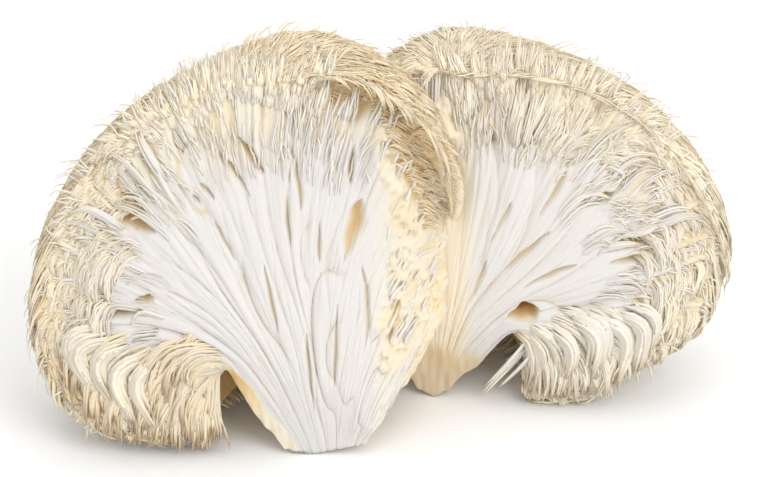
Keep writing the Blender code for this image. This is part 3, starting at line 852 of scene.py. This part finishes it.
def locks(paths, per_lock, width, rng):
    """Every path becomes a lock of spines that lie side by side over its width. A lock is round:
    its outer spines lie deeper. They draw together towards their tips and end unevenly."""
    count, steps = paths.shape[:2]
    v = np.linspace(0.0, 1.0, steps)
    side = unit(np.cross(np.gradient(paths, axis=1), DEPTH), 1e-12)
    place = np.linspace(-0.5, 0.5, per_lock) + rng.normal(0.0, 0.5 / per_lock, (count, per_lock))
    closing = rng.uniform(0.2, 0.9, (count, 1, 1)) * v**1.6
    aside = place[..., None] * (1.0 - closing) * width[:, None, None]
    deeper = 1.2 * place[..., None] ** 2 * (1.0 - closing) * width[:, None, None]
    members = paths[:, None] + aside[..., None] * side[:, None] + deeper[..., None] * DEPTH
    at = v * rng.uniform(0.55, 1.0, (count, per_lock, 1)) * (steps - 1)
    below = np.minimum(at.astype(int), steps - 2)[..., None]
    lower = np.take_along_axis(members, below, 2)
    upper = np.take_along_axis(members, below + 1, 2)
    return mix(lower, upper, at[..., None] - below).reshape(count * per_lock, steps, 3)


def uncovered(half, s, t, rng):
    """Which of the places s and t to keep, so that little grows across an opening: a spine that
    starts before one covers it, and few of those are kept."""
    covering = np.maximum.reduce([sampled(half.cut, s + k, t) for k in (0.0, 0.04, 0.08, 0.12)])
    return (covering[:, 0] < 1.2 * MM) | (rng.random(len(s)) < 0.12)


RIM_TO = 0.53  # the band of spines goes from the fringe up to this share of the way round
LEFT.rim_count, RIGHT.rim_count = 2050, 1950  # how many locks it has, at most
LEFT.crown_band, RIGHT.crown_band = 9, 13  # how deep it is at the crown, in millimetres
LEFT.side_band, RIGHT.side_band = 13, 10  # and at the side
FRINGE_BAND = 24  # and at the fringe
LEFT.fringe_tone, RIGHT.fringe_tone = 0.28, 0.03  # how much deeper in tone it is painted at the fringe, as painted shade where it hangs
LEFT.sweep, RIGHT.sweep = 1.0, 0.6  # how far it sweeps in beside the fringe
# How far the spines reach past the flesh, in millimetres, at even steps from the fringe (t = 0)
# to the crown (t = 0.5).
LEFT.past_rim = (4.0, 3.5, 1.0, -1.0, -0.5, 2.5, 5.5, 7.0, 7.0, 6.5, 4.0)
RIGHT.past_rim = (5.0, 5.0, 2.5, 2.5, 3.5, 5.0, 7.0, 6.5, 5.5, 6.0, 6.0)


def rim_spines(half, seed):
    """The band of spines round the torn face. They are longest where they hang as the fringe,
    and lie flat and fine over the crown."""
    rng = np.random.default_rng(seed)
    count = half.rim_count
    t = RIM_TO * rng.random(count)
    fibre = np.linalg.norm(np.diff(half.fan, axis=0), axis=-1).sum(0)
    fibre = np.interp(t, np.linspace(0, 1, COLUMNS), fibre)
    hung = fades(t, 0.10, 0.22)
    crown = smooth(t, 0.34, 0.46)
    beside = smooth(t, 0.05, 0.12) * fades(t, 0.22, 0.32)  # beside the fringe
    layer = rng.random(count) ** 1.15  # 0 at the outline, 1 for the innermost spines
    ragged = np.clip(1.0 + 0.45 * drift(0 * t, t, 1.0, 60.0, seed + 3), 0.4, 1.8)
    band = mix(mix(half.side_band * MM, half.crown_band * MM, crown), FRINGE_BAND * MM, hung)
    inside = band * layer * ragged + 1.5 * MM * beside
    s = 1.0 - inside / fibre
    kept = uncovered(half, s, t, rng)
    # Where the fibres lie close together, near the groove, fewer of them turn into spines.
    crowding = sampled(half.spacing, 1.0 + 0 * t, t) / sampled(half.spacing, s, t)
    kept &= crowding[:, 0] * rng.random(count) < 1.0
    kept &= (t > 0.06) | (layer < 0.3)
    s, t, inside, layer, hung, crown, beside = (
        values[kept] for values in (s, t, inside, layer, hung, crown, beside)
    )
    count = len(t)
    past = np.interp(t, np.linspace(0.0, 0.5, len(half.past_rim)), half.past_rim)
    aside = (1.0 - hung) * (1.0 - crown)
    length = 0.85 * inside + (past + 2.0 * aside + mix(2.0, 1.5, hung) * rng.normal(0, 1, count)) * MM
    length = np.maximum(length, 4 * MM)
    fall = mix(mix(0.92, 0.12, smooth(t, 0.30, 0.49)), 0.96, hung) + 0.07 * rng.normal(0, 1, count)
    outermost = fades(layer, 0.05, 0.35) * smooth(t, 0.14, 0.22)
    fall = np.clip(fall + 0.10 * drift(0 * t, t, 1.0, 60.0, seed + 1) - 0.12 * outermost, 0.0, 0.97)
    rise = (0.9 + 0.8 * layer + 0.4 * rng.normal(0, 1, count)) * MM
    curl = 0.35 * np.abs(rng.normal(0, 1, count)) * mix(0.4, 1.0, smooth(t, 0.22, 0.36))
    # Beside the fringe they are long and don't hang straight, but sweep in along the outline.
    length = length + beside * smooth(t, 0.10, 0.20) * rng.uniform(3.0, 10.0, count) * MM
    back = mix(rng.uniform(-0.5, 5.0, count), rng.uniform(-2.0, 0.3, count), beside)
    back = mix(back, rng.uniform(2.0, 12.0, count), crown) * MM
    sweep = beside * mix(half.sweep, 0.5, smooth(t, 0.12, 0.24))
    towards = GROUND - sweep[:, None, None] * np.array([1.0, 0.0, 0.0])
    paths = combed(half, s, t, length, fall, rise, back, curl, rng, COAT_STEPS, towards, (-0.4, 0.7))
    width = mix(rng.uniform(1.4, 2.8, count), rng.uniform(1.2, 2.4, count), crown) * MM
    paths = in_place(half, locks(paths, PER_LOCK, width, rng))
    t, layer, hung, crown, width = (
        np.repeat(values, PER_LOCK) for values in (t, layer, hung, crown, width)
    )
    above_ground(paths, 1.0, 5.0, rng)
    tint = np.repeat(rng.random(count), PER_LOCK) + 0.15 * rng.normal(0, 1, len(paths))
    # Painted shade: the outermost spines low on the fringe are painted deeper, and the tips of the
    # hanging ones browner.
    outer_low = half.fringe_tone * fades(t, 0.14, 0.26) * fades(layer, 0.05, 0.4)
    # Painted shade: the roots are painted deeper, tan, as the shade between the spines.
    root_tone = mix(0.48, 0.32, crown * smooth(layer, 0.2, 0.7))
    thick = 0.48 * width * rng.uniform(0.7, 1.3, len(paths))
    spines(half.name + "_rim", paths, FRONT, thick, {
        "depth": lambda v, i: mix(root_tone[i], 0.12, smooth(v, 0.0, 0.45)) + outer_low[i],
        "cream": lambda v, i: 0.2 + 0.8 * smooth(v - 0.8 * layer[i], -0.6, 0.4),
        "age": lambda v, i: 0.85 * smooth(v, 0.6, 1.0) * hung[i] + 0.06 * smooth(v, 0.7, 1.0),
        "tint": lambda v, i: tint[i],
    }, 0.3)


rim_spines(LEFT, 21)
rim_spines(RIGHT, 22)


def drawn(rng, wanted, count):
    """Even draws between two numbers, or else what is wanted as it stands."""
    return rng.uniform(*wanted, count) if isinstance(wanted, tuple) else wanted + np.zeros(count)


def strands(
    name, half, rng, s, t, length, fall, thick, rise, curl, seed, depth, cream, steps, towards=GROUND,
    bend=(-0.05, 0.9), per_lock=1, age=0.1, across=False, uneven_fall=0.0, even_curl=False,
    times=1.0, added=0.0,
):
    """Loose hairs and locks on the torn face, each with a path of its own as in combed. Length,
    thick and rise, in millimetres, and fall are each a range to draw from, or a value. Thick
    is the width of a lock, or of a hair where it has only one. A length is multiplied by
    times, and added is put on. Few cross an opening, unless across says so."""
    count = len(s)
    length = (drawn(rng, length, count) * times + added) * MM
    fall = drawn(rng, fall, count)
    if uneven_fall:
        fall = np.clip(fall + uneven_fall * rng.normal(0, 1, count), 0.0, 1.0)
    thick = drawn(rng, thick, count) * MM
    rise = drawn(rng, rise, count) * MM
    curl = curl + np.zeros(count) if even_curl else curl * np.abs(rng.normal(0, 1, count))
    rng = np.random.default_rng(seed)
    kept = uncovered(half, s, t, rng) | across
    s, t, length, fall, thick, rise, curl = (
        values[kept] for values in (s, t, length, fall, thick, rise, curl)
    )
    back = rng.uniform(-0.5, 1.5, len(s)) * MM
    paths = combed(half, s, t, length, fall, rise, back, curl, rng, steps, towards, bend)
    if per_lock > 1:
        paths = locks(paths, per_lock, thick, rng)
        thick = 0.42 * np.repeat(thick, per_lock)
    else:
        paths = clumped(paths, np.stack([t * RIM_LENGTH, s * 0.08], -1), 4, 0.5, 0.5, rng)
    paths = in_place(half, paths)
    above_ground(paths, 1.0, 4.0, rng)
    tint = rng.random(len(paths))
    spines(name, paths, FRONT, thick, {
        "depth": lambda v, i: depth + 0.05 * tint[i] + 0.15 * smooth(v, 0.7, 1.0),
        "cream": lambda v, i: np.clip(cream + 0.9 * smooth(v, 0.35, 1.0), 0.0, 1.0),
        "age": lambda v, i: age * smooth(v, 0.6, 1.0),
        "tint": lambda v, i: tint[i],
    }, 0.35)


BUNDLES, HAIRS, TOP_HAIRS, CURLS, FUR, HUNG = 110, 900, 150, 190, 1300, 90  # how many, at most
for half in (LEFT, RIGHT):
    rng = np.random.default_rng(half.seed + 80)
    # White bundles that leave the face towards the fringe, and droop into it.
    t = rng.uniform(0.07, 0.38, BUNDLES)
    s = rng.uniform(0.66, 0.90, BUNDLES)
    strands(
        half.name + "_strands", half, rng, s, t, (14, 28), mix(1.0, 0.6, smooth(t, 0.1, 0.38)),
        (1.2, 3.2), (0.0, 0.5), 0.3, half.seed + 81, depth=0.03, cream=0.0, steps=8, bend=(0.1, 1.0),
        per_lock=PER_LOCK, uneven_fall=0.05, times=mix(0.8, 1.0, smooth(t, 0.1, 0.3)),
    )
    # Fine loose hairs over the outer part of the face and out past its outline. Below the widest
    # part they are short at the outline, as they hang.
    t = rng.uniform(0.03, RIM_TO, HAIRS)
    s = 1.0 - 0.22 * rng.random(HAIRS) ** 1.5
    short = fades(t, 0.22, 0.34) * fades(1.0 - s, 0.0, 0.12)
    strands(
        half.name + "_hairs", half, rng, s, t, (6, 12), mix(0.7, 0.1, smooth(t, 0.25, 0.5)),
        (0.4, 0.8), (0.2, 1.0), 0.7, half.seed + 82, depth=0.08, cream=0.3, steps=6, uneven_fall=0.2,
        times=mix(1.0, 0.45, short),
    )

# Fine fibres just under the left half's rolled edge, where its face turns cream.
rng = np.random.default_rng(89)
s, t = rng.uniform(0.74, 0.93, TOP_HAIRS), rng.uniform(0.50, 0.62, TOP_HAIRS)
strands(
    "left_top_hairs", LEFT, rng, s, t, (5, 14), (0.0, 0.2), (0.5, 1.1), (0.0, 0.6), 0.5, 94,
    depth=0.03, cream=0.0, steps=6,
)

# Short curls on the spongy strip, and fine fur in the hollow above it.
rng = np.random.default_rng(90)
t = rng.uniform(0.60, 0.87, CURLS)
s = 1.0 - rng.uniform(0.02, 0.5, CURLS) * mix(0.7, 1.0, fades(t, 0.7, 0.9))
kept = sampled(LEFT.fan, s, t)[:, 0] < (LEFT.sponge[0] - 1) * MM
strands(
    "left_curls", LEFT, rng, s[kept], t[kept], (4, 10), (0.0, 0.5), (0.7, 1.7), (0.1, 0.7), 0.7, 91,
    depth=0.02, cream=0.35, steps=8,
)
DOWN_RIGHT = np.array([-0.75, 0.0, -0.66])
t = rng.uniform(0.52, 0.76, FUR)
s = 1.0 - rng.uniform(0.005, 1.0, FUR) * mix(0.06, 0.13, smooth(t, 0.58, 0.64))
# Its tan is the fur's own, and partly painted shade where it lies under the rolled edge.
strands(
    "left_hollow_fur", LEFT, rng, s, t, (4, 9), (1.2, 2.0), (0.3, 0.6), (0.0, 0.6), 0.5, 92,
    depth=0.33, cream=1.0, steps=5, towards=DOWN_RIGHT,
)
# The right half's crown hangs in white strands down over its torn face.
t, s = rng.uniform(0.47, 0.64, HUNG), rng.uniform(0.93, 1.0, HUNG)
strands(
    "right_hung_strands", RIGHT, rng, s, t, (10, 24), 2.0, (1.2, 2.6), (0.3, 1.5), 0.35, 93,
    depth=0.03, cream=0.2, steps=8, bend=(-0.5, 0.5), per_lock=PER_LOCK,
)

# A few white strands cross the gap between the right half's stem and its fringe. They start
# about this u and z, in millimetres.
LOOSE_AT, LOOSE_COUNT, TRIED = (30, 22), 7, 4000
DOWN_LEFT = np.array([-0.62, 0.0, -0.78])
rng = np.random.default_rng(95)
s, t = rng.uniform(0.6, 1.0, TRIED), rng.uniform(0.0, 0.2, TRIED)
u, _, z = sampled(RIGHT.fan, s, t).T / MM
near = (np.abs(u - LOOSE_AT[0]) < 2.5) & (np.abs(z - LOOSE_AT[1]) < 2.0)
kept = np.flatnonzero(near)[:LOOSE_COUNT]
strands(
    "right_loose_strands", RIGHT, rng, s[kept], t[kept], (12, 24), 2.0, (1.1, 1.7), (0.5, 2.0), 0.4,
    98, depth=0.04, cream=0.0, steps=8, towards=DOWN_LEFT, bend=(-0.9, 0.3), even_curl=True,
)

# The fringe hangs down in front of the fan of spines, from a ragged line.
LEFT.fringe = (27, 62, 17, 40)  # the u and z between which it starts, in millimetres
RIGHT.fringe = (27, 62, 16, 34)
LEFT.fringe_ends = ((27, 0), (50, 0), (58, 4), (68, 12))  # and the line of its tips
RIGHT.fringe_ends = ((26, 4), (30, 0), (44, 0), (49, 5), (55, 11), (62, 15))
LEFT.fringe_age, RIGHT.fringe_age = 0.9, 0.3  # how brown its tips are painted, as painted shade at the bottom of the fringe
FRINGE_PER_LOCK, FOLD_PER_LOCK = 6, 10  # spines in a lock of the fringe, and in a folded bundle
for half in (LEFT, RIGHT):
    rng = np.random.default_rng(half.seed + 97)
    count = 1600
    t = rng.uniform(0.0, 0.2, count)
    s = rng.uniform(0.4, 1.0, count)
    u, _, z = sampled(half.fan, s, t).T / MM
    u0, u1, z0, z1 = half.fringe
    z = z - np.interp(u, *np.transpose(half.fringe_ends))
    kept = (u > u0) & (u < u1) & (z > z0) & (z < z1)
    spacing = sampled(half.spacing, s, t)[:, 0]  # fewer where the fibres lie close together
    kept &= rng.random(count) < 0.30 * spacing / np.percentile(spacing[kept], 70)
    # The fringe's cream is painted deeper and its tips browner: painted shade where it hangs.
    strands(
        half.name + "_fringe", half, rng, s[kept], t[kept], (-6.0, 2.0), (0.9, 1.3), (1.8, 3.4),
        (0.5, 3.0), 0.45, half.seed + 99, depth=half.fringe_tone, cream=0.6, steps=8,
        bend=(-0.1, 0.8), per_lock=FRINGE_PER_LOCK, age=half.fringe_age, added=z[kept],
    )

# Some bundles are thick and smooth, and fold over before they hang down.
LEFT.folds = (  # u and z where they start, length and width, in millimetres
    (63, 40, 35, 4.5), (59, 38, 38, 5.5), (55, 36, 34, 4.5), (50, 33, 36, 5.5), (45, 31, 33, 4.0),
)
RIGHT.folds = (
    (34, 27, 24, 4.0), (40, 30, 29, 5.5), (43, 31, 28, 4.0), (48, 30, 32, 6.0), (54, 32, 27, 5.0),
    (58, 34, 25, 4.0),
)
LEFT.fold_inwards, RIGHT.fold_inwards = 0.45, 0.2  # how far they swing in towards the stem
LEFT.fold_cream, RIGHT.fold_cream = 0.9, 0.35
for half in (LEFT, RIGHT):
    rng = np.random.default_rng(half.seed + 110)
    starts = np.array(half.folds)
    gaps = half.fan[..., [0, 2]].reshape(-1, 1, 2) / MM - starts[None, :, :2]
    nearest = (gaps**2).sum(-1).argmin(0)
    s, t = nearest // COLUMNS / (ROWS - 1), nearest % COLUMNS / (COLUMNS - 1)
    strands(
        half.name + "_folds", half, rng, s, t, starts[:, 2], 1.0, starts[:, 3], (3.5, 5.5), 0.25,
        half.seed + 111, depth=0.04, cream=half.fold_cream, steps=10,
        towards=GROUND - [half.fold_inwards, 0.0, 0.0], bend=(0.05, 0.55), per_lock=FOLD_PER_LOCK,
        age=0.5, across=True,
    )

# ---- Where the halves hang together ---------------------------------------------------------
# Down the middle the spongy flesh of the left half runs on into the right half without an edge.
# It is one lumpy skin with pores, from the left half's near rim back to the right half's face.

BRIDGE_ROWS, BRIDGE_COLUMNS = 41, 201
BRIDGE_FROM, BRIDGE_TO = 0.795, 0.975  # the part of the left half's rim that it runs along
BRIDGE_REACH = (1.0 * MM, 6.5 * MM)  # how far to the right it goes at its top, and lower down
BRIDGE_DEPTH = 5.0 * MM  # from its front to its back
BRIDGE_PORES = 110
SMOOTHED = 21  # its right edge follows the right half's face, smoothed over so many columns


def all_round(front, back):
    """The rows of the front, of the back and the front's first row again, which close a ring."""
    return np.concatenate([front, back[::-1], front[:1]])


t = np.linspace(BRIDGE_FROM, BRIDGE_TO, BRIDGE_COLUMNS)
# The front is a curve in each column, from the left half's face over its rim to the right half.
inner = in_place(LEFT, sampled(LEFT.face, 0.93 + 0 * t, t))
edge = in_place(LEFT, sampled(LEFT.fan, 1.0 + 0 * t, t))
right_face = in_place(RIGHT, RIGHT.face[::2, ::3]).reshape(-1, 3)
reach = mix(*BRIDGE_REACH, smooth(t, 0.80, 0.92)) + 0.7 * MM * drift(0 * t, t, 1.0, 90.0, 97)
reach = np.maximum(reach, 1.0 * MM)[:, None]
outer = edge + reach * [1.0, 0.0, 0.0]
gaps = ((outer[:, None] - right_face[None]) ** 2)[..., [0, 2]].sum(-1)
behind = np.pad(right_face[gaps.argmin(1), 1], SMOOTHED // 2, "edge")
behind = np.convolve(behind, np.ones(SMOOTHED) / SMOOTHED, "valid")
outer[:, 1] = behind + 1.0 * MM
inner[:, 1] += 1.0 * MM
over = edge + 0.4 * reach * [1.0, 0.0, 0.0] + [0.0, -1.0 * MM, 0.0]
v = np.linspace(0.0, 1.0, BRIDGE_ROWS)[:, None, None]
front = (1 - v) ** 2 * inner + 2 * v * (1 - v) * over + v**2 * outer
x, z = front[..., 0], front[..., 2]
field = np.broadcast_to(np.sin(np.pi * v[..., 0]) ** 0.5 + 0.01, x.shape)
pits = pores(x, z, field, BRIDGE_PORES, (0.3, 1.0), 95)
lumps = 0.4 * MM * drift(x, z, 1500.0, 1200.0, 96, 24) * field
front[..., 1] += pits + lumps
# Painted shade: the pores are painted deeper in tone; the rest is the sponge's own cream.
sunk = np.clip(pits / (2.2 * MM), 0.0, 0.5) + 0.17 + 0.05 * drift(x, z, 260.0, 200.0, 98)
cream = 0.75 - 0.35 * smooth(np.broadcast_to(v[..., 0], x.shape), 0.6, 1.0)
ring = all_round(front, front + BRIDGE_DEPTH * DEPTH)
sides = [(ring, {"depth": all_round(sunk, sunk), "cream": all_round(cream, cream)})]
sides += [(cap(ring[:, end]), {"depth": 0.2, "cream": 1.0}) for end in (0, -1)]
bridge = closed_skin("torn_bridge", sides)
bridge.data.materials.append(flesh)
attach(bridge, "root")

# ---- Floor, light and camera ----------------------------------------------------------------
# A plain white floor and an even white sky, a soft key light from the upper right in front, and
# a wide one overhead. The camera looks down at the mushroom by 32 degrees.

FLOOR_WHITE, SKY_WHITE = 0.93, 0.8
scene = bpy.context.scene
bpy.ops.mesh.primitive_plane_add(size=6.0, location=(0.0, 0.0, 0.0))
floor = bpy.context.object
floor.name = "floor"
floor_paint = bpy.data.materials.new("floor_paint")
floor_paint.use_nodes = True
paint = floor_paint.node_tree.nodes["Principled BSDF"].inputs
paint["Base Color"].default_value = (FLOOR_WHITE, FLOOR_WHITE, FLOOR_WHITE, 1.0)
paint["Roughness"].default_value = 0.9
floor.data.materials.append(floor_paint)

world = bpy.data.worlds.new("studio")
scene.world = world
world.use_nodes = True
sky = world.node_tree.nodes["Background"].inputs
sky["Color"].default_value = (1.0, 1.0, 1.0, 1.0)
sky["Strength"].default_value = SKY_WHITE

for name, watts, size, place in (
    ("key", 5.4, 0.7, (0.7, -0.7, 0.95)), ("overhead", 5.6, 1.2, (0.1, 0.1, 1.3)),
):
    light = bpy.data.objects.new(name, bpy.data.lights.new(name, "AREA"))
    light.data.energy, light.data.size, light.location = watts, size, place
    scene.collection.objects.link(light)
    if name == "key":  # the other one shines straight down
        aim = Vector((0.02, 0.03, 0.05)) - light.location
        light.rotation_euler = aim.to_track_quat("-Z", "Y").to_euler()

camera = bpy.data.objects.new("camera", bpy.data.cameras.new("camera"))
camera.location = (0.01695, -0.51880, 0.39635)
camera.rotation_euler = (np.radians(58.0), 0.0, 0.0)
camera.data.lens = 103.0
camera.data.clip_start = 0.01
scene.collection.objects.link(camera)
scene.camera = camera
scene.view_settings.view_transform = "Standard"
